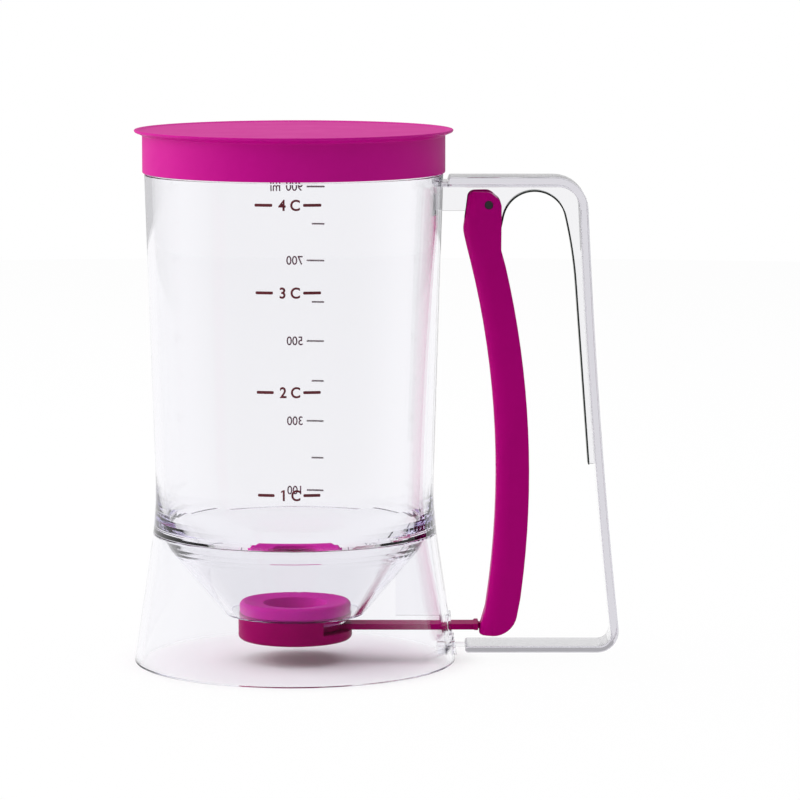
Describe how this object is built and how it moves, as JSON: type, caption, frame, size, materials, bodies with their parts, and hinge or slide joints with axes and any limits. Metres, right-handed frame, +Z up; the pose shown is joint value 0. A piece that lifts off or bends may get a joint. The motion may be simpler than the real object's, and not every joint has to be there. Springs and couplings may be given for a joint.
{
  "type": "pancake batter dispenser",
  "caption": "Clear jug with a funnel floor, push-on lid and a loop handle whose sprung trigger pulls a sliding gate open under the outlet.",
  "frame": {"origin": "on the jug's axis in the plane of its foot", "axes": "+X towards the handle, -Y towards the side with the cup scale, +Z up along the jug's axis"},
  "size_m": [0.1684, 0.1118, 0.185],
  "materials": {
    "lid_plastic": "smooth glossy magenta moulding",
    "clear_jug": "clear polished moulding with printed measuring scales",
    "clear_handle": "clear polished moulding",
    "trigger_plastic": "smooth deep magenta moulding",
    "pin_steel": "plain steel pin",
    "spring_steel": "rolled stainless strip",
    "gate_plastic": "smooth magenta moulding",
    "seal_silicone": "soft satin magenta seal",
    "cup_plastic": "smooth magenta moulding"
  },
  "bodies": {
    "base": {"jug_body": "clear_jug", "handle_frame": "clear_handle", "return_spring": "spring_steel", "outlet_seal": "seal_silicone", "valve_cup": "cup_plastic"},
    "lid_part": {"lid": "lid_plastic"},
    "trigger_part": {"trigger_lever": "trigger_plastic", "pivot_pin": "pin_steel"},
    "gate_part": {"gate_slider": "gate_plastic"}
  },
  "joints": [
    {"name": "lid_lift", "type": "slide", "parent": "base", "child": "lid_part", "axis": [0, 0, 1], "range_m": [0, 0.06]},
    {"name": "trigger_pivot", "type": "hinge", "parent": "base", "child": "trigger_part", "pos_m": [0.0671, 0, 0.1593], "axis": [0, -1, 0], "range_deg": [0, 8.5], "stiffness_Nm_per_rad": 3, "springref_deg": -11.46, "deforming": ["return_spring"]},
    {"name": "gate_slide", "type": "slide", "parent": "base", "child": "gate_part", "axis": [1, 0, 0], "range_m": [0, 0.022]}
  ],
  "couplings": [
    {"joint": "gate_slide", "follows": "trigger_pivot", "m_per_rad": 0.1473}
  ]
}
